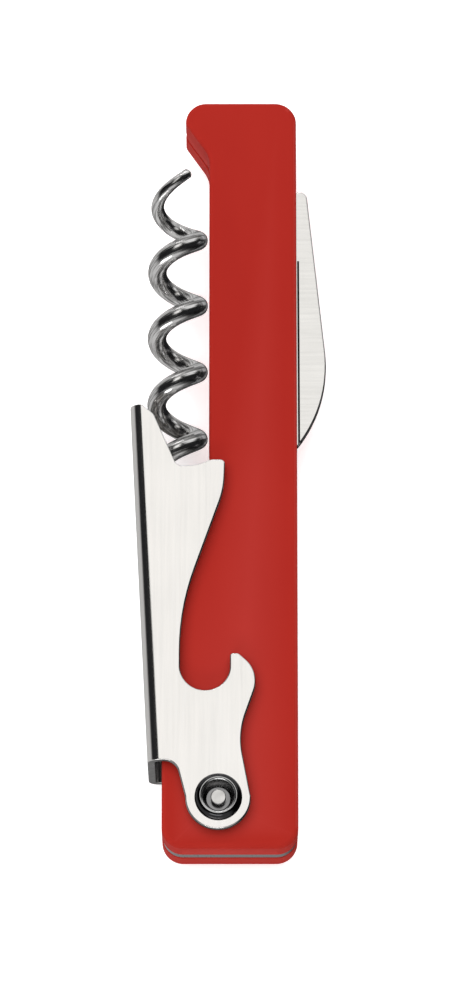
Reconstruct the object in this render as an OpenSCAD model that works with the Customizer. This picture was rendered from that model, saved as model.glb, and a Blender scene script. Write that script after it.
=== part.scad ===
// Waiters corkscrew, lying on its rear side with every tool folded in.
// Millimetres, +Z up. The origin is on the lever rivet's axis, at the flat rear head the tool rests on.
// +Y runs along the handle to its nose, +X points to the knife side.

/* [Handle] */
// Distance from the rivet's axis to the nose end
nose_reach = 108.5; // [100:0.5:115]
// Distance from the rivet's axis to the lower end
tail_reach = 7; // [6:0.5:9]
// Distance from the rivet's axis to the knife side, at the lower end
right_reach = 11.4; // [10:0.1:13]
// The same distance at the nose, where the handle is a little wider
nose_right = 11.65; // [10:0.05:13]
// Distance from the rivet's axis to the side under the lever
left_reach = 8.1; // [7:0.1:8.5]
// Left edge of the slim part of the handle, measured to the left of the rivet's axis
slim_left = 1.4; // [1:0.1:2]
// Left edge of the nose, measured the same way
nose_left = 4.95; // [4:0.05:6]
// Thickness of each plastic shell
shell_thick = 4.1; // [3.5:0.1:5]
// Rounding of the shells' outer edges
shell_edge = 0.7; // [0.4:0.1:1]
// Thickness of the steel core plate between the shells
core_thick = 2; // [1.6:0.1:2.4]
// How far the core plate stays inside the shells' outline
core_inset = 0.15; // [0.1:0.05:1]

/* [Lever] */
// Thickness of the folded steel sheet
sheet = 1.1; // [1:0.1:1.4]
// Gap between each cheek and the handle
side_gap = 0.8; // [0.5:0.1:1]
// Outer radius of the two folds
fold_radius = 1.8; // [1.5:0.1:2.2]
// Distance from the rivet's axis to the back of the channel
back_reach = 9.85; // [9.5:0.05:11]
// Lean of the channel's back away from the handle, in degrees
back_lean = 3; // [2:0.5:4]
// Distance from the rivet's axis to the lever's tip
lever_reach = 59.5; // [55:0.5:65]
// Radius of the cheeks' round end
cheek_end_radius = 4.6; // [4:0.1:5]
// Radius of the cap lifter's notch
cap_notch_radius = 3.6; // [3.4:0.05:3.6]

/* [Worm] */
// Outer diameter of the coil
coil_diameter = 9; // [8:0.1:9.2]
// Wire diameter
wire_diameter = 2.8; // [2.4:0.1:3]
// Rise of one turn
coil_pitch = 10.58; // [9:0.02:12]
// Distance from the coil's axis to the rivet's axis, across the handle
coil_offset = 6.1; // [5.9:0.1:6.3]

/* [Knife] */
// Blade thickness
blade_thick = 1.4; // [1:0.1:1.5]
// Radius of the tang about its pin
tang_radius = 3.4; // [3:0.1:3.6]

/* [Rivet] */
// Radius of the rivet's heads
head_radius = 3.4; // [3:0.1:4]
// Height of the heads above the cheeks
head_height = 1.2; // [0.8:0.1:1.5]
// Radius of the rivet's tube
tube_radius = 2.25; // [2:0.05:2.5]
// Radius of the plug's bright button
button_radius = 1.1; // [0.8:0.1:1.3]

/* [Pins] */
// Radius of the knife's and worm's pins
pin_radius = 1.2; // [1:0.1:1.4]
// Radius of the shells' dowels
dowel_radius = 1; // [0.8:0.1:1.2]

/* [Hidden] */

eps = 0.05;
run_gap = 0.05;
fit_gap = 0.02;

// Heights of the faces, from the floor up through the stack on the rivet
handle_thick = 2 * shell_thick + core_thick;
rear_cheek_z = head_height;
rear_face_z = rear_cheek_z + sheet + side_gap;
mid_z = rear_face_z + handle_thick / 2;
front_face_z = rear_face_z + handle_thick;
front_cheek_z = front_face_z + side_gap + sheet;
half_core = core_thick / 2;
half_channel = handle_thick / 2 + side_gap;

// Where the hidden pins stand
knife_at = [7.6, 103.2];
worm_at = [-5, 26];
spring_at = [0.5, 64];
dowel_spots = [[7.4, 12], [5.6, 52], [5.6, 88], [-1.6, 103.8]];

// Outlines: each corner is [x, y, radius]
handle_outline = [
    [-nose_left, nose_reach, 3.1],
    [nose_right, nose_reach, 3.2],
    [right_reach, -tail_reach, 3.1],
    [-left_reach, -tail_reach, 3.1],
    [-left_reach, 26, 8],
    [-slim_left, 42, 12],
    [-slim_left, 99.86, 4.5],
    [-nose_left, 105.05, 1.1]
];

core_outline = [
    [-left_reach + core_inset, -tail_reach + core_inset, 2.9],
    [-left_reach + core_inset, 22.9, 0.6],
    [-5, 22.9, 0],
    [-5, 26, 0],
    [-1.2, 26.6, 0.5],
    [2.3, 41, 3],
    [2.3, 98.4, 0.5],
    [5.9, 98.4, 0.8],
    [8.6, 94.6, 0.8],
    [8.6, 52.6, 0.8],
    [right_reach - core_inset, 50.9, 0.8],
    [right_reach - core_inset, -tail_reach + core_inset, 2.9]
];

spring_outline = [
    [-0.9, 40, 2],
    [-0.9, 95.2, 3],
    [2.7, 102.1, 0.4],
    [3.95, 101.3, 0.3],
    [1.9, 96.4, 2],
    [1.9, 41, 4],
    [-1.35, 27.5, 0.3],
    [-2.75, 28.3, 0.3]
];

nose_rib_outline = [
    [-nose_left + core_inset, nose_reach - core_inset, 2.9],
    [3.9, nose_reach - core_inset, 0.5],
    [3.9, 103, 0],
    [3, 102.8, 0.5],
    [0.5, 99.9, 0.5],
    [-1.2, 99.9, 0.3],
    [-nose_left + core_inset, 105.15, 0.9]
];

blade_outline = [
    [4.6, 103.2, 0],
    [7.6, 106, 0],
    [10.9, 103.2, 0],
    [10.9, 95.75, 0.5],
    [13.2, 95.75, 1.2],
    [16.75, 61.1, 21],
    [10.75, 53.9, 0.15],
    [10.4, 58, 4],
    [9.4, 96, 2],
    [6.6, 99.9, 1]
];

worm_bay_outline = [
    [-5, 23.2, 0],
    [-10, 23.2, 0],
    [-10, 50, 0],
    [-3.5, 50, 0],
    [-3.5, 26, 0]
];

cheek_outline = [
    [-14, lever_reach, 0],
    [-11.4, lever_reach, 0.8],
    [-9.5, 57.9, 1.8],
    [-6.05, 49.8, 1.4],
    [-3, 50, 6],
    [-1.2, 50.85, 2],
    [0.95, 50.85, 0.7],
    [0.8, 46.3, 13],
    [-5.56, 28.1, 38],
    [-5.56, 15.8, cap_notch_radius],
    [1.68, 15.8, cap_notch_radius],
    [1.68, 21.35, 0.45],
    [2.88, 21.3, 0.6],
    [6.02, 18.44, 4.3],
    [2.85, 9.4, 12],
    [cheek_end_radius, 0.1, 0],
    [cheek_end_radius, -cheek_end_radius, cheek_end_radius],
    [-cheek_end_radius, -cheek_end_radius, cheek_end_radius],
    [-cheek_end_radius - 0.1, 0.1, 0],
    [-6.1, 5.6, 2.2],
    [-14, 5.6, 0]
];

// ---- outline helpers ----

// Signed turn at a corner from direction u to direction v, in degrees
function turn(u, v) = atan2(u[0] * v[1] - u[1] * v[0], u[0] * v[0] + u[1] * v[1]);

function unit(v) = v / norm(v);

function flat(p) = [p[0], p[1]];

// The points of one rounded corner b between corners a and c, with n steps along its arc
function corner_arc(a, b, c, r, n) =
    let (u = unit(flat(b) - flat(a)), v = unit(flat(c) - flat(b)), t = turn(u, v))
    r <= 0.01 ? [for (i = [0:n]) flat(b)] :
    let (side = t > 0 ? 1 : -1,
         start = flat(b) - u * r * tan(abs(t) / 2),
         centre = start + side * r * [-u[1], u[0]],
         from = atan2(start[1] - centre[1], start[0] - centre[0]))
    [for (i = [0:n]) centre + r * [cos(from + t * i / n), sin(from + t * i / n)]];

// Steps along a corner's arc: about one every 9 degrees
function arc_steps(a, b, c) =
    max(2, ceil(abs(turn(flat(b) - flat(a), flat(c) - flat(b))) / 9));

function corner_at(p, i) = p[(i + len(p)) % len(p)];

// All the points of an outline with its corners rounded; square corners give one point
function traced(p) = [
    for (i = [0:len(p) - 1])
        let (a = corner_at(p, i - 1), b = p[i], c = corner_at(p, i + 1))
        for (q = b[2] <= 0.01 ? [flat(b)] : corner_arc(a, b, c, b[2], arc_steps(a, b, c))) q
];

// The same without the points that two arcs share where they meet
function rounded(p) =
    let (q = traced(p))
    [for (i = [0:len(q) - 1]) if (norm(q[i] - corner_at(q, i + 1)) > 0.01) q[i]];

// A corner of a clockwise outline moved inwards by d, with its radius changed to stay parallel
function inset_corner(a, b, c, d) =
    let (u = unit(flat(b) - flat(a)), v = unit(flat(c) - flat(b)),
         nu = [u[1], -u[0]], nv = [v[1], -v[0]],
         m = (nu + nv) / (1 + nu * nv),
         convex = turn(u, v) < 0)
    [b[0] + m[0] * d, b[1] + m[1] * d, b[2] + (convex ? -d : d)];

function inset(p, d) =
    [for (i = [0:len(p) - 1]) inset_corner(corner_at(p, i - 1), p[i], corner_at(p, i + 1), d)];

module outline(p) {
    polygon(rounded(p));
}

// How many points corner i's arc has, and where its last point stands in the traced outline
function arc_count(p, i) =
    p[i][2] <= 0.01 ? 1 : arc_steps(corner_at(p, i - 1), p[i], corner_at(p, i + 1)) + 1;

function last_point(p, i) = i == 0 ? arc_count(p, 0) - 1 : last_point(p, i - 1) + arc_count(p, i);

// A prism over a clockwise outline from z = 0 to z = h, with its top edge rounded to radius r.
// Each flat end is two faces, which meet on a line from the end of corner a to that of corner b.
module pebble(p, h, r, a, b) {
    ring_steps = 4;
    levels = concat([[0, 0]],
        [for (k = [0:ring_steps])
            let (t = 90 * k / ring_steps) [h - r + r * sin(t), r * (1 - cos(t))]]);
    rings = [for (l = levels) [for (q = traced(inset(p, l[1]))) [q[0], q[1], l[0]]]];
    n = len(rings[0]);
    last = len(levels) - 1;
    from_a = last_point(p, a);
    from_b = last_point(p, b);
    half_one = concat([for (i = [from_a + 1:from_b]) i], [from_a]);
    half_two = concat([from_a, from_b], [for (i = [from_b + 1:n - 1]) i], [for (i = [0:from_a - 1]) i]);
    top = [for (face = [half_one, half_two]) [for (i = face) last * n + i]];
    bottom = [for (face = [half_one, half_two])
        [for (k = [len(face) - 1:-1:0]) face[(k + 1) % len(face)]]];
    walls = [for (k = [0:last - 1]) for (i = [0:n - 1])
        let (j = (i + 1) % n) [k * n + i, k * n + j, (k + 1) * n + j, (k + 1) * n + i]];
    polyhedron([for (ring = rings) for (q = ring) q], concat(top, bottom, walls), convexity = 10);
}

module ring(outer, inner, h) {
    difference() {
        cylinder(r = outer, h = h, $fn = 64);
        translate([0, 0, -eps]) cylinder(r = inner, h = h + 2 * eps, $fn = 64);
    }
}

// ---- handle ----

pin_half = 3.7;
dowel_half = 3.4;
washer_thick = 0.4;
knife_pocket = blade_thick / 2 + 0.45;
worm_pocket = wire_diameter / 2 + 0.2;
// Room around the tang and the eye where they turn
turn_gap = 0.3;
// Room around a washer
pocket_gap = 0.1;
knife_washer_radius = 3;
worm_washer_radius = 2.5;
lever_washer_radius = 4;
eye_radius = 2.8;
eye_thick = 2.2;
bush_radius = 3.2;

// Everything that is cut out of a shell, drawn for the upper one with z = 0 at the middle plane
module shell_pockets() {
    translate([knife_at[0], knife_at[1], -eps]) {
        cylinder(r = pin_radius, h = pin_half + eps, $fn = 48);
        cylinder(r = knife_washer_radius + pocket_gap, h = knife_pocket + eps, $fn = 64);
    }
    translate([worm_at[0], worm_at[1], -eps]) {
        cylinder(r = pin_radius, h = pin_half + eps, $fn = 48);
        cylinder(r = eye_radius + turn_gap, h = worm_pocket + eps, $fn = 64);
    }
    translate([0, 0, -eps]) linear_extrude(worm_pocket + eps) outline(worm_bay_outline);
    for (spot = concat([spring_at], dowel_spots)) {
        translate([spot[0], spot[1], -eps]) cylinder(r = dowel_radius, h = dowel_half + eps, $fn = 48);
    }
    translate([0, 0, -eps]) cylinder(r = bush_radius, h = handle_thick, $fn = 64);
}

module upper_shell() {
    difference() {
        translate([0, 0, half_core]) pebble(handle_outline, shell_thick, shell_edge, 1, 5);
        shell_pockets();
    }
}

module front_shell() {
    color([0.70, 0.16, 0.14])
    translate([0, 0, mid_z]) upper_shell();
}

// The rear shell also carries the rib that fills the nose behind the knife's tang
module rear_shell() {
    color([0.70, 0.16, 0.14])
    translate([0, 0, mid_z]) {
        mirror([0, 0, 1]) upper_shell();
        difference() {
            translate([0, 0, -half_core - eps])
                linear_extrude(core_thick + eps) outline(nose_rib_outline);
            translate([knife_at[0], knife_at[1], -core_thick])
                cylinder(r = tang_radius + turn_gap, h = 2 * core_thick, $fn = 64);
            translate([dowel_spots[3][0], dowel_spots[3][1], -core_thick])
                cylinder(r = dowel_radius, h = 2 * core_thick, $fn = 48);
        }
    }
}

module core_plate() {
    color([0.62, 0.63, 0.65])
    translate([0, 0, mid_z - half_core]) difference() {
        linear_extrude(core_thick) outline(core_outline);
        translate([worm_at[0], worm_at[1], -eps])
            cylinder(r = eye_radius + turn_gap, h = core_thick + 2 * eps, $fn = 64);
        translate([0, 0, -eps]) cylinder(r = bush_radius, h = core_thick + 2 * eps, $fn = 64);
        for (spot = [dowel_spots[0], dowel_spots[1], dowel_spots[2]]) {
            translate([spot[0], spot[1], -eps])
                cylinder(r = dowel_radius, h = core_thick + 2 * eps, $fn = 48);
        }
    }
}

module shell_dowels() {
    color([0.66, 0.67, 0.69])
    for (spot = dowel_spots) {
        translate([spot[0], spot[1], mid_z - dowel_half])
            cylinder(r = dowel_radius, h = 2 * dowel_half, $fn = 48);
    }
}

module pivot_bush() {
    color([0.75, 0.62, 0.35])
    translate([0, 0, rear_face_z]) ring(bush_radius, tube_radius + fit_gap, handle_thick);
}

// ---- spring ----

module back_spring() {
    color([0.55, 0.57, 0.60])
    translate([0, 0, mid_z - blade_thick / 2]) difference() {
        linear_extrude(blade_thick) outline(spring_outline);
        translate([spring_at[0], spring_at[1], -eps])
            cylinder(r = dowel_radius, h = blade_thick + 2 * eps, $fn = 48);
    }
}

module spring_pin() {
    color([0.66, 0.67, 0.69])
    translate([spring_at[0], spring_at[1], mid_z - dowel_half])
        cylinder(r = dowel_radius, h = 2 * dowel_half, $fn = 48);
}

// ---- knife ----

// The ground step along each side of the cutting edge: a bevel, a flat land and a short shoulder
module bevel_cutters() {
    grind_bottom = 52;
    grind_top = 83;
    edge_x = 10.4;
    edge_half = 0.15;
    land_x = 11.3;
    land_half = 0.5;
    step_x = 12.05;
    shoulder = 0.3;
    beyond = 3;
    for (up = [0, 1]) mirror([0, 0, up]) {
        translate([0, grind_top, 0])
        rotate([90, 0, 0]) linear_extrude(grind_top - grind_bottom)
            polygon([[edge_x - beyond, edge_half], [edge_x, edge_half], [land_x, land_half],
                     [step_x - shoulder, land_half], [step_x, blade_thick / 2],
                     [step_x, blade_thick], [edge_x - beyond, blade_thick]]);
    }
}

module knife_blade() {
    color([0.80, 0.81, 0.82])
    translate([0, 0, mid_z]) difference() {
        translate([0, 0, -blade_thick / 2]) union() {
            linear_extrude(blade_thick) outline(blade_outline);
            translate([knife_at[0], knife_at[1], 0])
                cylinder(r = tang_radius, h = blade_thick, $fn = 72);
        }
        translate([knife_at[0], knife_at[1], -blade_thick])
            cylinder(r = pin_radius + run_gap, h = 2 * blade_thick, $fn = 48);
        bevel_cutters();
    }
}

module knife_pin() {
    color([0.66, 0.67, 0.69])
    translate([knife_at[0], knife_at[1], mid_z - pin_half])
        cylinder(r = pin_radius, h = 2 * pin_half, $fn = 48);
}

// way is 1 for the washer in front of the tang and -1 for the one behind it
module knife_washer(way) {
    middle = mid_z + way * (knife_pocket - fit_gap - washer_thick / 2);
    color([0.78, 0.66, 0.36])
    translate([knife_at[0], knife_at[1], middle - washer_thick / 2])
        ring(knife_washer_radius, pin_radius + fit_gap, washer_thick);
}

module knife_washer_front() {
    knife_washer(1);
}

module knife_washer_rear() {
    knife_washer(-1);
}

// ---- worm ----

coil_radius = (coil_diameter - wire_diameter) / 2;
// Height of the coil's rightmost point nearest the shank, and the turn there and at the tip, in degrees
coil_base_y = 45.8;
root_turn = -200;
last_left_turn = 1620;
tip_turn = 1742;
thinning_from = 1380;
tip_rise = 1.1;
tip_wire = 0.74;
shank_foot_y = 27;

function smooth(t) = let (s = min(1, max(0, t))) s * s * (3 - 2 * s);

// Centre of the wire at a turn of a degrees: left, front, right, rear as it climbs
function coil_point(a) =
    let (r = coil_radius * smooth((a - root_turn) / -root_turn),
         late = max(0, (a - last_left_turn) / (tip_turn - last_left_turn)))
    [-coil_offset + r * cos(a),
     coil_base_y + coil_pitch * a / 360 + tip_rise * late * late,
     -r * sin(a)];

// The wire thins over the last turn or so, and is still thinning at its cut end
function wire_radius(a) =
    let (t = (a - thinning_from) / (tip_turn - thinning_from), cut = 0.85)
    wire_diameter / 2 - (wire_diameter / 2 - tip_wire) * smooth(cut * t) / smooth(cut);

shank_top = coil_point(root_turn)[1];

// The shank's wire, from inside the eye up to the coil's root
shank_path = [for (k = [0:7])
    let (t = k / 8, y = shank_foot_y + (shank_top - shank_foot_y) * t)
    [worm_at[0] - (coil_offset + worm_at[0]) * smooth(1.3 * t), y, 0]];

turn_step = 13;
coil_turns = [for (a = [root_turn:turn_step:tip_turn]) a];

wire_path = concat(shank_path, [for (a = coil_turns) coil_point(a)]);
wire_radii = concat([for (p = shank_path) wire_diameter / 2], [for (a = coil_turns) wire_radius(a)]);

function tangent(p, i) = unit(p[min(len(p) - 1, i + 1)] - p[max(0, i - 1)]);

// A side direction for each ring, carried along the wire so that the skin doesn't twist
function carried(p, i, last) =
    i >= len(p) ? [] :
    let (t = tangent(p, i), s = unit(last - (last * t) * t))
    concat([s], carried(p, i + 1, s));

module swept_wire(p, radii, sides) {
    side = carried(p, 0, [0, 0, 1]);
    n = len(p);
    skin = [for (i = [0:n - 1]) let (t = tangent(p, i), s = side[i], q = cross(t, s))
        for (k = [0:sides - 1]) p[i] + radii[i] * (cos(360 * k / sides) * s + sin(360 * k / sides) * q)];
    walls = [for (i = [0:n - 2]) for (k = [0:sides - 1]) let (j = (k + 1) % sides)
        [i * sides + k, (i + 1) * sides + k, (i + 1) * sides + j, i * sides + j]];
    foot = [for (k = [0:sides - 1]) k];
    head = [for (k = [sides - 1:-1:0]) (n - 1) * sides + k];
    polyhedron(skin, concat([foot, head], walls), convexity = 10);
}

module worm() {
    color([0.72, 0.73, 0.74])
    translate([0, 0, mid_z]) difference() {
        union() {
            swept_wire(wire_path, wire_radii, 12);
            translate([worm_at[0], worm_at[1], -eye_thick / 2])
                cylinder(r = eye_radius, h = eye_thick, $fn = 64);
        }
        translate([worm_at[0], worm_at[1], -wire_diameter])
            cylinder(r = pin_radius + run_gap, h = 2 * wire_diameter, $fn = 48);
        // The faces that take the washers are flat across the whole eye
        for (up = [0, 1]) mirror([0, 0, up]) {
            translate([worm_at[0], worm_at[1], eye_thick / 2])
                cylinder(r = worm_washer_radius + 2 * pocket_gap, h = wire_diameter, $fn = 64);
        }
    }
}

module worm_pin() {
    color([0.66, 0.67, 0.69])
    translate([worm_at[0], worm_at[1], mid_z - pin_half])
        cylinder(r = pin_radius, h = 2 * pin_half, $fn = 48);
}

// way is 1 for the washer in front of the eye and -1 for the one behind it
module worm_washer(way) {
    middle = mid_z + way * (eye_thick / 2 + fit_gap + washer_thick / 2);
    color([0.78, 0.66, 0.36])
    translate([worm_at[0], worm_at[1], middle - washer_thick / 2])
        ring(worm_washer_radius, pin_radius + fit_gap, washer_thick);
}

module worm_washer_front() {
    worm_washer(1);
}

module worm_washer_rear() {
    worm_washer(-1);
}

// ---- lever ----

// The folded channel before its outline is cut: a U open to the right
module channel_blank() {
    blank_half = half_channel + sheet;
    blank_width = back_reach + 8;
    over_top = 4;
    over_end = 10;
    module section(half, back, corner) {
        translate([-back, 0]) {
            translate([corner, -half]) square([blank_width, 2 * half]);
            translate([0, corner - half]) square([corner + eps, 2 * (half - corner)]);
            for (way = [-1, 1]) {
                translate([corner, way * (half - corner)]) circle(r = corner, $fn = 48);
            }
        }
    }
    rotate([0, 0, back_lean]) translate([0, lever_reach + over_top, 0]) rotate([90, 0, 0])
    linear_extrude(lever_reach + over_top + over_end) difference() {
        section(blank_half, back_reach, fold_radius);
        section(half_channel, back_reach - sheet, fold_radius - sheet);
    }
}

module lever() {
    reach = half_channel + sheet + 1;
    color([0.85, 0.85, 0.84])
    translate([0, 0, mid_z]) difference() {
        intersection() {
            channel_blank();
            translate([0, 0, -reach]) linear_extrude(2 * reach) outline(cheek_outline);
        }
        translate([0, 0, -reach]) cylinder(r = tube_radius + run_gap, h = 2 * reach, $fn = 64);
    }
}

module lever_washer(base_z) {
    color([0.70, 0.71, 0.72])
    translate([0, 0, base_z + fit_gap])
        ring(lever_washer_radius, tube_radius + fit_gap, side_gap - 2 * fit_gap);
}

module lever_washer_front() {
    lever_washer(front_face_z);
}

module lever_washer_rear() {
    lever_washer(rear_face_z - side_gap);
}

// ---- rivet ----

bore_radius = 1.75;
dish_radius = 2.3;
dish_depth = 1.2;
plug_radius = bore_radius - fit_gap;
rivet_floor = 3;

// A quarter arc of a head's rounded edge
function head_edge(r, z, radius) =
    [for (t = [0:15:90]) [r - radius + radius * cos(t), z + radius * sin(t)]];

module lever_rivet() {
    rim = front_cheek_z + fit_gap;
    top = front_cheek_z + head_height;
    lip = 0.3;
    rear_edge = 0.8;
    crest = dish_radius + lip;
    color([0.35, 0.36, 0.37])
    rotate_extrude($fn = 96) polygon(concat(
        [[0, 0], [head_radius - rear_edge, 0]],
        [for (t = [-75:15:0])
            [head_radius - rear_edge + rear_edge * cos(t), rear_edge + rear_edge * sin(t)]],
        [[head_radius, head_height - fit_gap], [tube_radius, head_height - fit_gap]],
        [[tube_radius, rim], [head_radius, rim]],
        [for (t = [15:15:90]) [crest + (head_radius - crest) * cos(t), rim + (top - rim) * sin(t)]],
        [for (t = [120:30:180]) [crest + lip * cos(t), top - lip + lip * sin(t)]],
        [[bore_radius, front_cheek_z - dish_depth], [bore_radius, rivet_floor], [0, rivet_floor]]));
}

module rivet_plug() {
    shoulder_z = front_cheek_z - dish_depth;
    button_z = front_cheek_z;
    button_edge = 0.3;
    color([0.82, 0.82, 0.82])
    rotate_extrude($fn = 96) polygon(concat(
        [[0, rivet_floor], [plug_radius, rivet_floor]],
        [[plug_radius, shoulder_z], [button_radius, shoulder_z]],
        head_edge(button_radius, button_z - button_edge, button_edge),
        [[0, button_z]]));
}

front_shell();
rear_shell();
core_plate();
shell_dowels();
pivot_bush();
back_spring();
spring_pin();
knife_blade();
knife_pin();
knife_washer_front();
knife_washer_rear();
worm();
worm_pin();
worm_washer_front();
worm_washer_rear();
lever();
lever_washer_front();
lever_washer_rear();
lever_rivet();
rivet_plug();
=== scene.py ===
"""Looks of the waiters corkscrew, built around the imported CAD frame.

Shapes are worked out in millimetres and turned into metres when a piece is made.
The origin is on the lever rivet's axis; +Y runs to the nose and +X points to the knife side.
"""

import math

import bmesh
import bpy
from mathutils import Matrix, Vector


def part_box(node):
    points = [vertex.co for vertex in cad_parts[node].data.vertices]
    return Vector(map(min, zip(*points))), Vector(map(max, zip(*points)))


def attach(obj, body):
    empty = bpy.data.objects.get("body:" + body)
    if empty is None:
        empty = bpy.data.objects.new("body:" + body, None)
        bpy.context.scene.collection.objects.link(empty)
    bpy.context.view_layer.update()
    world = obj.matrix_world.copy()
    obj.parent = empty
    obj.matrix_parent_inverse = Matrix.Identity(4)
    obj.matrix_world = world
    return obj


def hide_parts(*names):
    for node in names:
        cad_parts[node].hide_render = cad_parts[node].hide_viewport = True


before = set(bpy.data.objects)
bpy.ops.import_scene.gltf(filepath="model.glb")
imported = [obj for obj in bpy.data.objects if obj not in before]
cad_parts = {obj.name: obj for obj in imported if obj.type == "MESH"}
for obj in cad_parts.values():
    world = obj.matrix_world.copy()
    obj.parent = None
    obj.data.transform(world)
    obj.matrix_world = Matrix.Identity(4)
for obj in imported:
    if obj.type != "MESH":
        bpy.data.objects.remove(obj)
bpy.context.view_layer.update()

MM = 0.001

# ---- heights of the stack on the rivet, read from the frame ----

core_low, core_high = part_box("core_plate")
front_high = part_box("front_shell")[1]
lever_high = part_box("lever")[1]
rivet_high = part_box("lever_rivet")[1]
MID_Z = (core_low.z + core_high.z) / 2 / MM
HALF_CORE = (core_high.z - core_low.z) / 2 / MM
HALF_HANDLE = front_high.z / MM - MID_Z
HALF_LEVER = lever_high.z / MM - MID_Z
HEAD_TOP = rivet_high.z / MM

# ---- camera ----

AIM = Vector((1.02, 45.19, front_high.z / MM)) * MM
TILT = math.radians(18.75)
DISTANCE = 0.62

camera_data = bpy.data.cameras.new("camera")
camera_data.lens = 152.9
camera_data.sensor_width = 36.0
camera_data.clip_start = 0.01
camera = bpy.data.objects.new("camera", camera_data)
camera.location = AIM + DISTANCE * Vector((0, -math.sin(TILT), math.cos(TILT)))
camera.rotation_euler = (TILT, 0, 0)
bpy.context.scene.collection.objects.link(camera)
bpy.context.scene.camera = camera

# ---- outlines in millimetres: each corner is (x, y, radius) ----

HANDLE = [
    (-4.95, 108.5, 3.1),
    (11.65, 108.5, 3.2),
    (11.4, -7, 3.1),
    (-8.1, -7, 3.1),
    (-8.1, 26, 8),
    (-1.4, 42, 12),
    (-1.4, 99.86, 4.5),
    (-4.95, 105.05, 1.1),
]
NOSE_RIB = [
    (-4.8, 108.35, 2.9),
    (3.9, 108.35, 0.5),
    (3.9, 103, 0),
    (3, 102.8, 0.5),
    (0.5, 99.9, 0.5),
    (-1.2, 99.9, 0.3),
    (-4.8, 105.15, 0.9),
]
WORM_BAY = [(-5, 23.2, 0), (-10, 23.2, 0), (-10, 50, 0), (-3.5, 50, 0), (-3.5, 26, 0)]
BLADE = [
    (4.6, 103.2, 2.5),
    (4.9, 106.4, 2.4),
    (10.3, 106.4, 2.4),
    (10.9, 103.2, 2.5),
    (10.9, 95.75, 0.5),
    (13.2, 95.75, 1.2),
    (16.75, 61.1, 21),
    (10.75, 53.9, 0.15),
    (10.4, 58, 4),
    (9.4, 96, 2),
    (6.6, 99.9, 1),
]
CHEEK = [
    (-11.4, 59.5, 0.8),
    (-9.5, 57.9, 1.8),
    (-6.05, 49.8, 1.4),
    (-3, 50, 6),
    (-1.2, 50.85, 2),
    (0.95, 50.85, 0.7),
    (0.8, 46.3, 13),
    (-5.56, 28.1, 38),
    (-5.56, 15.8, 3.6),
    (1.68, 15.8, 3.6),
    (1.68, 21.35, 0.45),
    (2.88, 21.3, 0.6),
    (6.02, 18.44, 4.3),
    (2.85, 9.4, 12),
    (4.6, 0.1, 0),
    (4.6, -4.6, 4.6),
    (-4.6, -4.6, 4.6),
    (-4.7, 0.1, 0),
    (-6.1, 5.6, 2.2),
]
KNIFE_AT = Vector((7.6, 103.2))
WORM_AT = Vector((-5, 26))
PIN_HOLE = 1.25
# The worm's axis runs along Y at this X; the wire climbs PITCH in a turn
COIL_X = -6.1
PITCH = 10.58


def smooth(t):
    """0 to 1 with soft ends."""
    t = min(1.0, max(0.0, t))
    return t * t * (3 - 2 * t)


def turned(p, a):
    """A flat vector turned by an angle."""
    return Vector((p.x * math.cos(a) - p.y * math.sin(a), p.x * math.sin(a) + p.y * math.cos(a)))


def outline(corners, inset=0.0, step=4.0):
    """Points of a rounded outline moved inwards by inset. Their number doesn't depend on inset."""
    count = len(corners)
    flat = [Vector(c[:2]) for c in corners]
    area = sum(flat[i - 1].cross(flat[i]) for i in range(count))
    way = 1 if area > 0 else -1
    points = []
    for i in range(count):
        here = flat[i]
        u = (here - flat[i - 1]).normalized()
        v = (flat[(i + 1) % count] - here).normalized()
        inward_u = way * Vector((-u.y, u.x))
        inward_v = way * Vector((-v.y, v.x))
        corner = here + (inward_u + inward_v) * inset / (1 + inward_u.dot(inward_v))
        turn = math.atan2(u.cross(v), u.dot(v))
        radius = corners[i][2]
        if radius < 0.01:
            points.append(corner)
            continue
        radius = max(radius - inset, 0.02) if way * turn > 0 else radius + inset
        side = 1 if turn > 0 else -1
        start = corner - u * radius * math.tan(abs(turn) / 2)
        centre = start + side * radius * Vector((-u.y, u.x))
        spoke = start - centre
        steps = max(2, math.ceil(abs(math.degrees(turn)) / step))
        for k in range(steps + 1):
            a = turn * k / steps
            points.append(centre + turned(spoke, a))
    return points


# ---- mesh helpers, in millimetres ----


def tidy(mesh):
    bmesh.ops.remove_doubles(mesh, verts=mesh.verts, dist=0.002)
    bmesh.ops.recalc_face_normals(mesh, faces=mesh.faces)
    return mesh


def stack(loops):
    """A skin over equal loops of 3-D points, closed by a face at each end."""
    mesh = bmesh.new()
    rings = [[mesh.verts.new(p) for p in loop] for loop in loops]
    for low, high in zip(rings, rings[1:]):
        for i in range(len(low)):
            mesh.faces.new((low[i - 1], low[i], high[i], high[i - 1]))
    mesh.faces.new(rings[0])
    mesh.faces.new(list(reversed(rings[-1])))
    return tidy(mesh)


def prism(corners, levels, step=4.0):
    """A prism over a rounded outline; each level is (height, inset)."""
    return stack([[Vector((p.x, p.y, z)) for p in outline(corners, d, step)] for z, d in levels])


def circle(centre, radius, z, sides):
    """Points of a level circle."""
    x, y = centre
    turns = [2 * math.pi * k / sides for k in range(sides)]
    return [Vector((x + radius * math.cos(a), y + radius * math.sin(a), z)) for a in turns]


def rod(centre, radius, low, high, sides=96):
    return stack([circle(centre, radius, z, sides) for z in (low, high)])


def lathe(profile, centre=(0, 0), sides=128):
    """A turned shape from (radius, height) points that start and end on the axis."""
    mesh = bmesh.new()
    rings = [[mesh.verts.new(p) for p in circle(centre, r, z, sides)] for r, z in profile]
    for low, high in zip(rings, rings[1:]):
        for i in range(sides):
            mesh.faces.new((low[i - 1], low[i], high[i], high[i - 1]))
    return tidy(mesh)


def temporary(mesh):
    data = bpy.data.meshes.new("temporary")
    mesh.to_mesh(data)
    mesh.free()
    thing = bpy.data.objects.new("temporary", data)
    bpy.context.scene.collection.objects.link(thing)
    return thing


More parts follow.
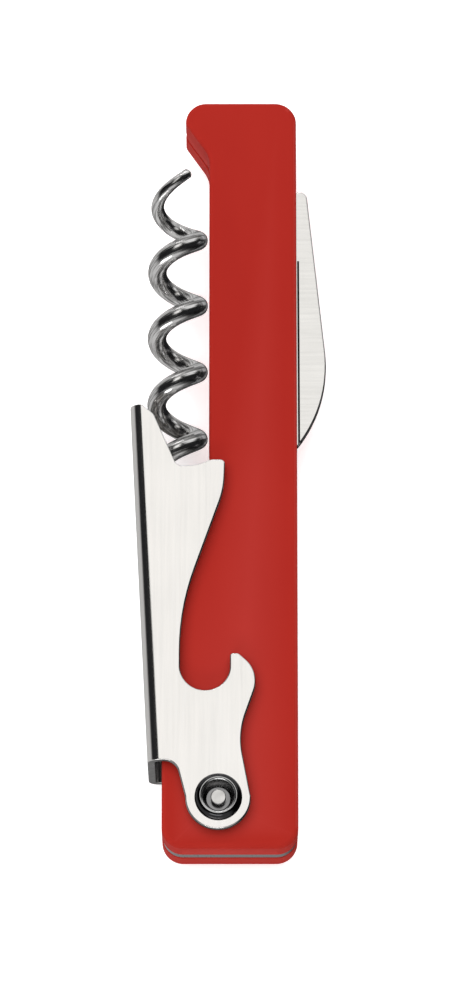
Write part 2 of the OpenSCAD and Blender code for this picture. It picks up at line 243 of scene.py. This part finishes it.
def combine(mesh, tools, operation):
    """The mesh after each tool is cut from it or joined to it."""
    target = temporary(mesh)
    helpers = [temporary(tool) for tool in tools]
    for helper in helpers:
        modifier = target.modifiers.new("combine", "BOOLEAN")
        modifier.operation = operation
        modifier.solver = "EXACT"
        modifier.object = helper
    done = target.evaluated_get(bpy.context.evaluated_depsgraph_get())
    result = bmesh.new()
    result.from_mesh(done.to_mesh())
    for thing in [target] + helpers:
        bpy.data.objects.remove(thing)
    return result


def score(mesh, point, normal):
    """Extra edges where a plane crosses the mesh."""
    everything = mesh.verts[:] + mesh.edges[:] + mesh.faces[:]
    bmesh.ops.bisect_plane(mesh, geom=everything, plane_co=point, plane_no=normal, dist=1e-4)


def both_sides(rim):
    """Levels of a flat piece from those of its upper rim, which start at its top."""
    return [(-z, inset) for z, inset in rim] + [(z, inset) for z, inset in reversed(rim)]


def piece(name, mesh, body, material, nodes, sharp=32):
    """A finished object from a mesh in millimetres."""
    mesh.transform(Matrix.Scale(MM, 4))
    data = bpy.data.meshes.new(name)
    mesh.to_mesh(data)
    mesh.free()
    for face in data.polygons:
        face.use_smooth = True
    data.set_sharp_from_angle(angle=math.radians(sharp))
    data.materials.append(material)
    thing = bpy.data.objects.new(name, data)
    bpy.context.scene.collection.objects.link(thing)
    normals = thing.modifiers.new("normals", "WEIGHTED_NORMAL")
    normals.keep_sharp = True
    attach(thing, body)
    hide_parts(*nodes)
    return thing


# ---- materials ----


class Nodes:
    """A small builder for one material's node tree."""

    def __init__(self, name):
        self.material = bpy.data.materials.new(name)
        self.material.use_nodes = True
        self.tree = self.material.node_tree
        self.shader = self.tree.nodes["Principled BSDF"]
        self.coords = self.tree.nodes.new("ShaderNodeTexCoord").outputs["Object"]

    def put(self, node, socket, value):
        if isinstance(value, bpy.types.NodeSocket):
            self.tree.links.new(value, node.inputs[socket])
        else:
            node.inputs[socket].default_value = value

    def noise(self, scale, detail=3.0, stretch=(1, 1, 1), offset=0.0):
        mapping = self.tree.nodes.new("ShaderNodeMapping")
        self.put(mapping, "Vector", self.coords)
        self.put(mapping, "Scale", stretch)
        self.put(mapping, "Location", (offset, offset, offset))
        node = self.tree.nodes.new("ShaderNodeTexNoise")
        self.put(node, "Vector", mapping.outputs["Vector"])
        self.put(node, "Scale", scale)
        self.put(node, "Detail", detail)
        return node.outputs["Fac"]

    def range(self, value, low, high, to_low, to_high):
        node = self.tree.nodes.new("ShaderNodeMapRange")
        self.put(node, "Value", value)
        limits = {"From Min": low, "From Max": high, "To Min": to_low, "To Max": to_high}
        for socket, number in limits.items():
            self.put(node, socket, number)
        return node.outputs["Result"]

    def math(self, operation, a, b=0.0):
        node = self.tree.nodes.new("ShaderNodeMath")
        node.operation = operation
        self.put(node, 0, a)
        self.put(node, 1, b)
        return node.outputs[0]

    def blend(self, share, a, b):
        node = self.tree.nodes.new("ShaderNodeMix")
        node.data_type = "RGBA"
        self.put(node, 0, share)
        self.put(node, 6, a)
        self.put(node, 7, b)
        return node.outputs[2]

    def radius(self):
        """Distance from the rivet's axis, in metres."""
        level = self.tree.nodes.new("ShaderNodeVectorMath")
        level.operation = "MULTIPLY"
        self.put(level, 0, self.coords)
        self.put(level, 1, (1, 1, 0))
        node = self.tree.nodes.new("ShaderNodeVectorMath")
        node.operation = "LENGTH"
        self.put(node, 0, level.outputs[0])
        return node.outputs["Value"]

    def drawn(self, across, along, depth):
        """Noise drawn out along the worm's wire; the numbers say how fast it changes each way.

        turn is the angle about the coil's axis and phase stays the same along the wire.
        """
        split = self.tree.nodes.new("ShaderNodeSeparateXYZ")
        self.put(split, 0, self.coords)
        x = self.math("SUBTRACT", split.outputs["X"], COIL_X * MM)
        z = self.math("SUBTRACT", MID_Z * MM, split.outputs["Z"])
        turn = self.math("ARCTAN2", z, x)
        climbed = self.math("MULTIPLY", split.outputs["Y"], 2 * math.pi / (PITCH * MM))
        phase = self.math("SUBTRACT", climbed, turn)
        square = self.math("ADD", self.math("MULTIPLY", x, x), self.math("MULTIPLY", z, z))
        radius = self.math("SQRT", square)
        place = self.tree.nodes.new("ShaderNodeCombineXYZ")
        for axis, wave in enumerate(("SINE", "COSINE")):
            fast = self.math("MULTIPLY", self.math(wave, phase), across)
            slow = self.math("MULTIPLY", self.math(wave, turn), along)
            self.put(place, axis, self.math("ADD", fast, slow))
        self.put(place, 2, self.math("MULTIPLY", radius, depth))
        node = self.tree.nodes.new("ShaderNodeTexNoise")
        self.put(node, "Vector", place.outputs[0])
        self.put(node, "Scale", 1.0)
        self.put(node, "Detail", 4.0)
        return node.outputs["Fac"]

    def edges(self, low=0.515, high=0.56):
        """1 on convex edges, 0 on flats."""
        point = self.tree.nodes.new("ShaderNodeNewGeometry").outputs["Pointiness"]
        return self.range(point, low, high, 0.0, 1.0)

    def bump(self, height, distance, strength=1.0, under=None):
        node = self.tree.nodes.new("ShaderNodeBump")
        self.put(node, "Height", height)
        self.put(node, "Distance", distance)
        self.put(node, "Strength", strength)
        if under is not None:
            self.put(node, "Normal", under)
        return node.outputs["Normal"]

    def surface(self, **values):
        for socket, value in values.items():
            self.put(self.shader, socket.replace("_", " "), value)
        return self.material


WORN_METAL = (0.93, 0.93, 0.92, 1)
RUBBED_PLASTIC = (0.62, 0.09, 0.08, 1)


def metal(name, light, dark, rough, spread, streaks, wear=0.3, painted_ring=None):
    """Plated or ground metal: cloudy tone, polishing streaks, fine scratches, brighter worn edges.

    streaks says how fast the streaks change along X, Y and Z, and spread how far the roughness varies.
    The last argument, (from, to, colour), paints a dark band of shade and dark reflection: the tone
    changes to that colour between two radii about the rivet's axis.
    """
    grain_height = 2.0e-6
    dent_height = 4.0e-6
    n = Nodes(name)
    clouds = n.noise(90, 4.0)
    lines = n.noise(1.0, 6.0, stretch=streaks)
    marks = n.noise(1.0, 2.0, stretch=[s * 0.37 for s in streaks], offset=3.0)
    scratch = n.range(marks, 0.66, 0.7, 0.0, 1.0)
    tone = n.math("ADD", n.math("MULTIPLY", clouds, 0.5), n.math("MULTIPLY", lines, 0.5))
    colour = n.blend(n.range(tone, 0.35, 0.65, 0.0, 1.0), light, dark)
    colour = n.blend(n.math("MULTIPLY", n.edges(), wear), colour, WORN_METAL)
    # Painted shade and dark reflection: a band about the rivet's axis is darkened to a fixed colour
    if painted_ring:
        colour = n.blend(n.range(n.radius(), painted_ring[0] * MM, painted_ring[1] * MM, 0.0, 1.0), colour, painted_ring[2])
    gloss = n.range(lines, 0.3, 0.7, rough - spread, rough + spread)
    gloss = n.math("ADD", gloss, n.math("MULTIPLY", scratch, spread))
    gloss = n.math("ADD", gloss, n.range(clouds, 0.3, 0.7, -spread / 2, spread / 2))
    relief = n.bump(lines, grain_height)
    relief = n.bump(n.noise(420, 3.0, offset=7.0), dent_height, under=relief)
    return n.surface(Base_Color=colour, Metallic=1.0, Roughness=gloss, Normal=relief)


def drawn_wire(name, light, dark, rough):
    """Plated wire with the marks of drawing and winding along it."""
    fine_height = 1.2e-5
    broad_height = 3.0e-5
    n = Nodes(name)
    broad = n.drawn(5, 1.2, 2200)
    fine = n.drawn(16, 1.6, 6500)
    clouds = n.noise(500, 3.0)
    tone = n.math("ADD", n.math("MULTIPLY", broad, 0.5), n.math("MULTIPLY", fine, 0.35))
    tone = n.math("ADD", tone, n.math("MULTIPLY", clouds, 0.15))
    colour = n.blend(n.range(tone, 0.46, 0.62, 0.0, 1.0), light, dark)
    colour = n.blend(n.math("MULTIPLY", n.edges(), 0.1), colour, WORN_METAL)
    gloss = n.range(tone, 0.4, 0.62, rough - 0.06, rough + 0.1)
    relief = n.bump(fine, fine_height)
    relief = n.bump(broad, broad_height, under=relief)
    return n.surface(Base_Color=colour, Metallic=1.0, Roughness=gloss, Normal=relief)


def plastic(name, light, dark, rough):
    """Moulded satin plastic: fine spark-eroded grain, faint flow clouds, paler rubbed edges."""
    grain_height = 6.0e-6
    wave_height = 2.0e-5
    n = Nodes(name)
    clouds = n.noise(55, 4.0, stretch=(1, 0.35, 1))
    grain = n.noise(2600, 3.0)
    colour = n.blend(n.range(clouds, 0.35, 0.65, 0.0, 1.0), light, dark)
    colour = n.blend(n.math("MULTIPLY", n.edges(0.505, 0.56), 0.16), colour, RUBBED_PLASTIC)
    scuffs = n.range(n.noise(1.0, 3.0, stretch=(1500, 110, 1500), offset=2.0), 0.6, 0.72, 0.0, 0.05)
    gloss = n.math("ADD", n.range(grain, 0.3, 0.7, rough - 0.04, rough + 0.04), scuffs)
    gloss = n.math("ADD", gloss, n.range(clouds, 0.3, 0.7, -0.03, 0.03))
    relief = n.bump(grain, grain_height)
    relief = n.bump(n.noise(140, 2.0, offset=5.0), wave_height, under=relief)
    return n.surface(Base_Color=colour, Roughness=gloss, Normal=relief, Specular_IOR_Level=0.015)


RED = plastic("red_plastic", (0.37, 0.021, 0.014, 1), (0.338, 0.0175, 0.012, 1), 0.42)
LEVER_METAL = metal(
    "lever_nickel", (0.95, 0.925, 0.9, 1), (0.92, 0.9, 0.875, 1), 0.17, 0.025, (1900, 60, 1900)
)
SHEARED_METAL = metal(
    "lever_sheared_edge",
    (0.4, 0.395, 0.39, 1),
    (0.27, 0.265, 0.26, 1),
    0.36,
    0.08,
    (700, 700, 3500),
    wear=0.1,
)
WORM_METAL = drawn_wire("worm_nickel", (0.88, 0.87, 0.86, 1), (0.2, 0.195, 0.19, 1), 0.16)
BLADE_METAL = metal(
    "blade_steel", (0.87, 0.86, 0.84, 1), (0.82, 0.81, 0.79, 1), 0.17, 0.03, (90, 2200, 90)
)
BLADE_EDGE = metal(
    "blade_ground_edge",
    (0.62, 0.61, 0.6, 1),
    (0.5, 0.5, 0.49, 1),
    0.5,
    0.05,
    (90, 90, 2200),
    wear=0.1,
)
# Painted reflection: the rivet head's outer slope past its crest is painted near-black, where it mirrors
# the dark room
RIVET_METAL = metal(
    "rivet_nickel",
    (0.66, 0.66, 0.66, 1),
    (0.5, 0.5, 0.5, 1),
    0.15,
    0.04,
    (900, 900, 900),
    wear=0.1,
    painted_ring=(2.62, 2.72, (0.05, 0.05, 0.052, 1)),
)
# Painted shade: the plug's recessed floor around the button is painted a darker grey
PLUG_METAL = metal(
    "plug_nickel",
    (0.76, 0.75, 0.74, 1),
    (0.6, 0.6, 0.59, 1),
    0.2,
    0.05,
    (900, 900, 900),
    painted_ring=(1.08, 1.16, (0.3, 0.3, 0.305, 1)),
)
CORE_METAL = metal(
    "core_steel", (0.4, 0.385, 0.4, 1), (0.3, 0.29, 0.305, 1), 0.34, 0.08, (2200, 120, 2200)
)
SPRING_METAL = metal(
    "spring_steel", (0.5, 0.5, 0.52, 1), (0.4, 0.4, 0.42, 1), 0.3, 0.08, (1800, 90, 1800)
)
PIN_METAL = metal(
    "pin_steel", (0.6, 0.6, 0.62, 1), (0.5, 0.5, 0.52, 1), 0.28, 0.06, (900, 900, 900)
)
WASHER_METAL = metal(
    "washer_steel", (0.62, 0.62, 0.62, 1), (0.5, 0.5, 0.51, 1), 0.3, 0.08, (1400, 1400, 300)
)
BRASS = metal(
    "washer_brass", (0.72, 0.54, 0.25, 1), (0.6, 0.43, 0.19, 1), 0.3, 0.08, (1400, 1400, 300), wear=0.1
)
BUSH_BRASS = metal(
    "bush_brass", (0.70, 0.54, 0.27, 1), (0.58, 0.43, 0.2, 1), 0.32, 0.08, (1200, 1200, 300), wear=0.1
)

CARRIED = {
    "core_plate": CORE_METAL,
    "shell_dowels": PIN_METAL,
    "pivot_bush": BUSH_BRASS,
    "back_spring": SPRING_METAL,
    "spring_pin": PIN_METAL,
    "knife_pin": PIN_METAL,
    "worm_pin": PIN_METAL,
    "knife_washer_front": BRASS,
    "knife_washer_rear": BRASS,
    "worm_washer_front": BRASS,
    "worm_washer_rear": BRASS,
    "lever_washer_front": WASHER_METAL,
    "lever_washer_rear": WASHER_METAL,
}
for name, material in CARRIED.items():
    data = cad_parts[name].data
    data.materials.clear()
    data.materials.append(material)

# ---- handle shells ----

WORM_POCKET = 1.6
KNIFE_POCKET = 1.15
EYE_POCKET_RADIUS = 3.1
BUSH_HOLE_RADIUS = 3.2


def shell_levels():
    """Heights and insets of a shell from its slit side to its outer face, for the front shell."""
    slit_edge = 0.15
    outer_edge = 0.7
    steps = 9
    levels = []
    for k in range(4):
        a = math.pi / 2 * k / 3
        levels.append((HALF_CORE + slit_edge * (1 - math.cos(a)), slit_edge * (1 - math.sin(a))))
    for k in range(steps + 1):
        a = math.pi / 2 * k / steps
        levels.append((HALF_HANDLE - outer_edge * (1 - math.sin(a)), outer_edge * (1 - math.cos(a))))
    return levels


def upper_shell():
    """The front shell about the middle plane, with its worm bay, pockets and rivet hole."""
    body = prism(HANDLE, shell_levels(), step=3.0)
    cuts = [
        prism(WORM_BAY, [(-1, 0), (WORM_POCKET, 0)]),
        rod(WORM_AT, EYE_POCKET_RADIUS, -1, WORM_POCKET),
        rod(KNIFE_AT, EYE_POCKET_RADIUS, -1, KNIFE_POCKET),
        rod((0, 0), BUSH_HOLE_RADIUS, -1, 9),
    ]
    return combine(body, cuts, "DIFFERENCE")


front = upper_shell()
front.transform(Matrix.Translation((0, 0, MID_Z)))
handle_front = piece("handle_front", front, "handle", RED, ["front_shell"])

# The rear shell is the front one mirrored. A rib closes the nose and clears the knife's tang
TANG_CLEARANCE = 3.7
rear = upper_shell()
rear.transform(Matrix.Scale(-1, 4, (0, 0, 1)))
bmesh.ops.reverse_faces(rear, faces=rear.faces)
rib = prism(NOSE_RIB, [(-HALF_CORE - 0.2, 0), (HALF_CORE - 0.02, 0)])
rib = combine(rib, [rod(KNIFE_AT, TANG_CLEARANCE, -3, 3)], "DIFFERENCE")
joined = bpy.data.meshes.new("rib")
rib.to_mesh(joined)
rib.free()
rear.from_mesh(joined)
rear.transform(Matrix.Translation((0, 0, MID_Z)))
handle_rear = piece("handle_rear", rear, "handle", RED, ["rear_shell"])
# Mirror reflections don't see the shells, so the polished parts don't pick up their red. In a studio,
# black flags beside the handle do this
for shell in (handle_front, handle_rear):
    shell.visible_glossy = False

# ---- lever: a flat pattern with rounded edges, folded up into a channel ----

# The channel leans by LEAN. Its web's middle surface is at BACK, where its bends have the radius FOLD
LEAN = math.radians(3)
BACK = -9.3
FOLD = 1.25
FOLD_STEPS = 12
HALF_SHEET = 0.55
RIVET_HOLE = 2.3
# Faces of the flat pattern that tilt past this show sheared steel
CUT_TILT = 0.8
FLAT_HALF = HALF_LEVER - HALF_SHEET - FOLD
FOLD_END = FLAT_HALF + FOLD * math.pi / 2


def unfolded(corner):
    """A cheek's corner as it lies on the flat sheet: distance from the channel's middle, and height."""
    p = turned(Vector(corner[:2]), -LEAN)
    over = p.x - (BACK + FOLD)
    if over < 0:
        over = -FOLD * math.asin(min(1.0, -over / (FOLD + HALF_SHEET)))
    return (FOLD_END + over, p.y, corner[2])


def folded(p):
    """A point (across, up, through) of the flat sheet, where it stands on the channel."""
    across, up, through = p
    side = 1 if across > 0 else -1
    over = abs(across) - FLAT_HALF
    if over <= 0:
        x, z = BACK - through, across
    elif over <= FOLD_END - FLAT_HALF:
        a = over / FOLD
        x = BACK + FOLD - (FOLD + through) * math.cos(a)
        z = side * (FLAT_HALF + (FOLD + through) * math.sin(a))
    else:
        x = BACK + FOLD + over - (FOLD_END - FLAT_HALF)
        z = side * (FLAT_HALF + FOLD + through)
    return turned(Vector((x, up)), LEAN).to_3d() + Vector((0, 0, z))


half_pattern = [unfolded(c) for c in CHEEK]
pattern = half_pattern + [(-u, v, r) for u, v, r in reversed(half_pattern)]
sheet_rim = [(HALF_SHEET, 0.16), (0.5, 0.045), (0.39, 0)]
lever = prism(pattern, both_sides(sheet_rim), step=3.0)
pivot_across = FOLD_END - (BACK + FOLD)
holes = [rod((side * pivot_across, 0), RIVET_HOLE, -2, 2) for side in (-1, 1)]
lever = combine(lever, holes, "DIFFERENCE")
for side in (-1, 1):
    for k in range(FOLD_STEPS + 1):
        across = side * (FLAT_HALF + (FOLD_END - FLAT_HALF) * k / FOLD_STEPS)
        score(lever, (across, 0, 0), (1, 0, 0))
for face in lever.faces:
    face.normal_update()
    face.material_index = 1 if abs(face.normal.z) < CUT_TILT else 0
for vertex in lever.verts:
    vertex.co = folded(vertex.co)
bmesh.ops.recalc_face_normals(lever, faces=lever.faces)
lever.transform(Matrix.Translation((0, 0, MID_Z)))
channel = piece("lever_channel", lever, "lever", LEVER_METAL, ["lever"], sharp=50)
channel.data.materials.append(SHEARED_METAL)

# ---- worm ----

# Lengths in millimetres; a place on the coil is its turn in degrees
COIL_RADIUS = 3.1
COIL_BASE = 45.8
WIRE = 1.4
TIP_WIRE = 0.74
ROOT_TURN = -200
THINNING_FROM = 1380
LAST_LEFT = 1620
TIP_TURN = 1742
TURN_STEP = 6
TIP_RISE = 1.1
SHANK_FOOT = 28.3
SHANK_ROWS = 26
SHANK_BEND_FROM = 27
EYE_RADIUS = 2.8
EYE_HALF = 1.1
EYE_EDGE = 0.15
EYE_FLATNESS = 0.75
EYE_BLEND = 3.5


def coil_point(a):
    """Centre of the wire at a turn: left, front, right, rear as it climbs."""
    r = COIL_RADIUS * smooth((a - ROOT_TURN) / -ROOT_TURN)
    late = max(0.0, (a - LAST_LEFT) / (TIP_TURN - LAST_LEFT))
    turn = math.radians(a)
    height = COIL_BASE + PITCH * a / 360 + TIP_RISE * late * late
    return Vector((COIL_X + r * math.cos(turn), height, -r * math.sin(turn)))


def wire_radius(a):
    """The wire thins to TIP_WIRE over its last turn, along the first part of a smooth step."""
    t = (a - THINNING_FROM) / (TIP_TURN - THINNING_FROM)
    part = 0.85
    return WIRE - (WIRE - TIP_WIRE) * smooth(part * t) / smooth(part)


def swept(path, radii, flats, sides=28):
    """A wire skin; flats squeezes its height near the eye."""
    loops = []
    side = Vector((0, 0, 1))
    for i, p in enumerate(path):
        along = (path[min(len(path) - 1, i + 1)] - path[max(0, i - 1)]).normalized()
        side = (side - side.dot(along) * along).normalized()
        across = along.cross(side)
        loop = []
        for k in range(sides):
            a = 2 * math.pi * k / sides
            loop.append(p + radii[i] * (flats[i] * math.cos(a) * side + math.sin(a) * across))
        loops.append(loop)
    return stack(loops)


shank_top = coil_point(ROOT_TURN).y
path, radii, flats = [], [], []
for k in range(SHANK_ROWS):
    y = SHANK_FOOT + (shank_top - SHANK_FOOT) * k / SHANK_ROWS
    bend = smooth(1.3 * (y - SHANK_BEND_FROM) / (shank_top - SHANK_BEND_FROM))
    path.append(Vector((WORM_AT.x + (COIL_X - WORM_AT.x) * bend, y, 0)))
    radii.append(WIRE)
    flats.append(EYE_FLATNESS + (1 - EYE_FLATNESS) * smooth((y - SHANK_FOOT) / EYE_BLEND))
for turn in range(ROOT_TURN, TIP_TURN + 1, TURN_STEP):
    path.append(coil_point(turn))
    radii.append(wire_radius(turn))
    flats.append(1.0)
# Two smaller rings round the cut end off; each is (further along, share of the tip's radius)
end_way = (path[-1] - path[-2]).normalized()
for reach, share in ((0.05, 0.93), (0.12, 0.8)):
    path.append(path[-1] + end_way * reach)
    radii.append(TIP_WIRE * share)
    flats.append(1.0)
worm = swept(path, radii, flats)
eye_profile = [
    (PIN_HOLE + EYE_EDGE, -EYE_HALF),
    (EYE_RADIUS - EYE_EDGE, -EYE_HALF),
    (EYE_RADIUS, -EYE_HALF + EYE_EDGE),
    (EYE_RADIUS, EYE_HALF - EYE_EDGE),
    (EYE_RADIUS - EYE_EDGE, EYE_HALF),
    (PIN_HOLE + EYE_EDGE, EYE_HALF),
    (PIN_HOLE, EYE_HALF - EYE_EDGE),
    (PIN_HOLE, -EYE_HALF + EYE_EDGE),
    (PIN_HOLE + EYE_EDGE, -EYE_HALF),
]
eye = lathe(eye_profile, WORM_AT)
worm = combine(worm, [eye], "UNION")
worm.transform(Matrix.Translation((0, 0, MID_Z)))
piece("worm_coil", worm, "worm", WORM_METAL, ["worm"], sharp=50)

# ---- knife ----

HALF_BLADE = 0.7
# The ground step beside the cutting edge: (x, half thickness of the blade); along Y it fades out
# over GRIND_END
GRIND = [(10.4, 0.15), (11.3, 0.5), (11.75, 0.5), (12.05, HALF_BLADE)]
GRIND_END = (81.5, 84.5)
# The rounded faces along the blade's back show grinding marks
BACK_FROM_X = 12.3
BACK_TILT = 0.9

blade_rim = [(HALF_BLADE, 0.2), (0.66, 0.09), (0.58, 0.02), (0.5, 0)]
knife = prism(BLADE, both_sides(blade_rim), step=3.0)
for x, _ in GRIND:
    score(knife, (x, 0, 0), (1, 0, 0))
for y in GRIND_END:
    score(knife, (0, y, 0), (0, 1, 0))


def ground(x):
    """Half thickness of the ground blade at one x."""
    for (x0, half0), (x1, half1) in zip(GRIND, GRIND[1:]):
        if x <= x1:
            return half0 + (half1 - half0) * max(0.0, x - x0) / (x1 - x0)
    return HALF_BLADE


for vertex in knife.verts:
    fade = 1 - min(1.0, max(0.0, (vertex.co.y - GRIND_END[0]) / (GRIND_END[1] - GRIND_END[0])))
    vertex.co.z *= 1 - (1 - ground(vertex.co.x) / HALF_BLADE) * fade
knife = combine(knife, [rod(KNIFE_AT, PIN_HOLE, -3, 3)], "DIFFERENCE")
knife.transform(Matrix.Translation((0, 0, MID_Z)))
knife.normal_update()
for face in knife.faces:
    on_back = face.calc_center_median().x > BACK_FROM_X
    face.material_index = 1 if on_back and abs(face.normal.z) < BACK_TILT else 0
blade = piece(
    "knife_blade_ground", knife, "knife", BLADE_METAL, ["knife_blade"], sharp=12
)
blade.data.materials.append(BLADE_EDGE)

# ---- rivet and its plug ----


def arc(centre, radii, start, end, steps):
    """Points of an elliptic arc, angles in degrees."""
    return [
        (
            centre[0] + radii[0] * math.cos(math.radians(start + (end - start) * k / steps)),
            centre[1] + radii[1] * math.sin(math.radians(start + (end - start) * k / steps)),
        )
        for k in range(steps + 1)
    ]


HEAD_RADIUS = 3.4
HEAD_EDGE = 0.8
REAR_HEAD = 1.18
TUBE_RADIUS = 2.25
BORE_RADIUS = 1.75
BORE_FLOOR = 3
DISH_FLOOR = 14.0
LIP = 0.3
FRONT_RIM = MID_Z + HALF_LEVER + 0.02
CREST = HEAD_RADIUS - HEAD_EDGE
rivet_profile = (
    [(0, 0), (1.2, 0)]
    + arc((CREST, HEAD_EDGE), (HEAD_EDGE, HEAD_EDGE), -90, 0, 10)
    + [(HEAD_RADIUS, REAR_HEAD), (TUBE_RADIUS, REAR_HEAD)]
    + [(TUBE_RADIUS, FRONT_RIM), (HEAD_RADIUS, FRONT_RIM)]
    + arc((CREST, FRONT_RIM), (HEAD_EDGE, HEAD_TOP - FRONT_RIM), 12, 90, 14)
    + arc((CREST, HEAD_TOP - LIP), (LIP, LIP), 100, 180, 6)
    + [(BORE_RADIUS, DISH_FLOOR), (BORE_RADIUS, BORE_FLOOR), (0, BORE_FLOOR)]
)
piece("rivet_head", lathe(rivet_profile), "handle", RIVET_METAL, ["lever_rivet"])

PLUG_RADIUS = BORE_RADIUS - 0.02
PLUG_EDGE = 0.05
BUTTON_RADIUS = 1.1
BUTTON_TOP = 15.2
BUTTON_EDGE = 0.12
button_edge_at = (BUTTON_RADIUS - BUTTON_EDGE, BUTTON_TOP - BUTTON_EDGE)
plug_profile = (
    [(0, BORE_FLOOR), (PLUG_RADIUS, BORE_FLOOR)]
    + [(PLUG_RADIUS, DISH_FLOOR - PLUG_EDGE), (PLUG_RADIUS - PLUG_EDGE, DISH_FLOOR)]
    + [(BUTTON_RADIUS, DISH_FLOOR)]
    + arc(button_edge_at, (BUTTON_EDGE, BUTTON_EDGE), 0, 90, 8)
    + [(0, BUTTON_TOP)]
)
piece("rivet_button", lathe(plug_profile), "handle", PLUG_METAL, ["rivet_plug"])

# ---- floor and light, in metres ----

FLOOR_HALF = 4
FLOOR_DROP = 0.0002

floor_mesh = bmesh.new()
bmesh.ops.create_grid(floor_mesh, x_segments=1, y_segments=1, size=FLOOR_HALF)
floor_data = bpy.data.meshes.new("floor")
floor_mesh.to_mesh(floor_data)
floor_mesh.free()
floor = bpy.data.objects.new("floor", floor_data)
floor.location = (0, 0, -FLOOR_DROP)
bpy.context.scene.collection.objects.link(floor)
paper = Nodes("paper")
floor_data.materials.append(
    paper.surface(
        Base_Color=paper.blend(paper.noise(20), (0.93, 0.93, 0.93, 1), (0.95, 0.95, 0.95, 1)),
        Roughness=0.9,
        Emission_Color=(1, 1, 1, 1),
        Emission_Strength=0.55,
    )
)
floor.visible_glossy = False

world = bpy.data.worlds.new("studio")
world.use_nodes = True
bpy.context.scene.world = world
sky = world.node_tree
direction = sky.nodes.new("ShaderNodeTexCoord").outputs["Generated"]


def sky_node(kind, settings, *inputs):
    """A node of the world with its inputs set or linked in order."""
    node = sky.nodes.new(kind)
    for key, value in settings.items():
        setattr(node, key, value)
    for index, value in inputs:
        if isinstance(value, bpy.types.NodeSocket):
            sky.links.new(value, node.inputs[index])
        else:
            node.inputs[index].default_value = value
    return node


def sky_range(value, low, high, to_low, to_high):
    """The value remapped from low..high to to_low..to_high and clamped there."""
    limits = enumerate((value, low, high, to_low, to_high))
    return sky_node("ShaderNodeMapRange", {}, *limits).outputs["Result"]


def sky_math(operation, a, b=0.0):
    return sky_node("ShaderNodeMath", {"operation": operation}, (0, a), (1, b)).outputs[0]


def sky_vector(operation, a, b=(0, 0, 0), output=0):
    return sky_node("ShaderNodeVectorMath", {"operation": operation}, (0, a), (1, b)).outputs[output]


split = sky_node("ShaderNodeSeparateXYZ", {}, (0, direction))
# A softbox overhead in a black room, narrow across the object. Its middle is where the flats mirror
# the camera
MIDDLE = (0, 0.3214, 0.947)
BLACK_ROOM = (0.015, 0.015, 0.016, 1)
SOFTBOX = (1, 0.99, 0.97, 1)
narrowed = sky_vector("NORMALIZE", sky_vector("MULTIPLY", direction, (2.0, 1, 1)))
overhead = sky_vector("DOT_PRODUCT", narrowed, MIDDLE, "Value")
ramp = sky_node("ShaderNodeValToRGB", {}, (0, overhead))
stops = ramp.color_ramp.elements
stops[0].position, stops[0].color = 0.9, BLACK_ROOM
stops[1].position, stops[1].color = 0.965, SOFTBOX
# A window low beyond the nose, on the knife's side
towards = sky_vector("DOT_PRODUCT", direction, (0.45, 0.76, 0.47), "Value")
window = sky_range(towards, 0.87, 0.93, 0.0, 0.8)
# A grey wall on the worm's side, up to a little above the horizon
worm_side = sky_range(split.outputs["X"], -0.12, -0.34, 0.0, 0.5)
wall = sky_math("MULTIPLY", worm_side, sky_range(overhead, 0.05, 0.2, 1.0, 0.0))
# Grey panels beyond the nose and beyond the lower end, darker on the knife's side
both_ends = sky_range(sky_math("ABSOLUTE", split.outputs["Y"]), 0.5, 0.68, 0.0, 0.55)
glow = sky_math("MULTIPLY", both_ends, sky_range(split.outputs["X"], 0.55, 0.8, 1.0, 0.2))
# A dim floor straight below
below = sky_range(overhead, -0.75, -0.9, 0.0, 0.3)
panels = sky_math("MAXIMUM", sky_math("MAXIMUM", wall, glow), sky_math("MAXIMUM", window, below))
lit = sky_node(
    "ShaderNodeMix",
    {"data_type": "RGBA", "blend_type": "LIGHTEN"},
    (0, 1.0),
    (6, ramp.outputs["Color"]),
    (7, panels),
)
sky.links.new(lit.outputs[2], sky.nodes["Background"].inputs["Color"])

LIGHTS_AIM = Vector((0, 0.045, 0))


def panel(name, location, size, power, mirrored):
    """A soft rectangular light aimed at the object; mirrored says whether polished parts show it."""
    light = bpy.data.lights.new(name, "AREA")
    light.shape = "RECTANGLE"
    light.size, light.size_y = size
    light.energy = power
    lamp = bpy.data.objects.new(name, light)
    lamp.location = location
    lamp.rotation_euler = (LIGHTS_AIM - lamp.location).to_track_quat("-Z", "Y").to_euler()
    lamp.visible_glossy = mirrored
    bpy.context.scene.collection.objects.link(lamp)


panel("key", Vector((-0.15, 0.12, 0.9)), (1.2, 1.2), 11.5, False)
panel("front_strip", Vector((-0.1, -0.62, 0.36)), (0.5, 0.16), 1.0, True)
panel("nose_strip", Vector((-0.15, 0.75, 0.42)), (0.5, 0.06), 0.45, True)

bpy.context.scene.view_settings.view_transform = "Standard"
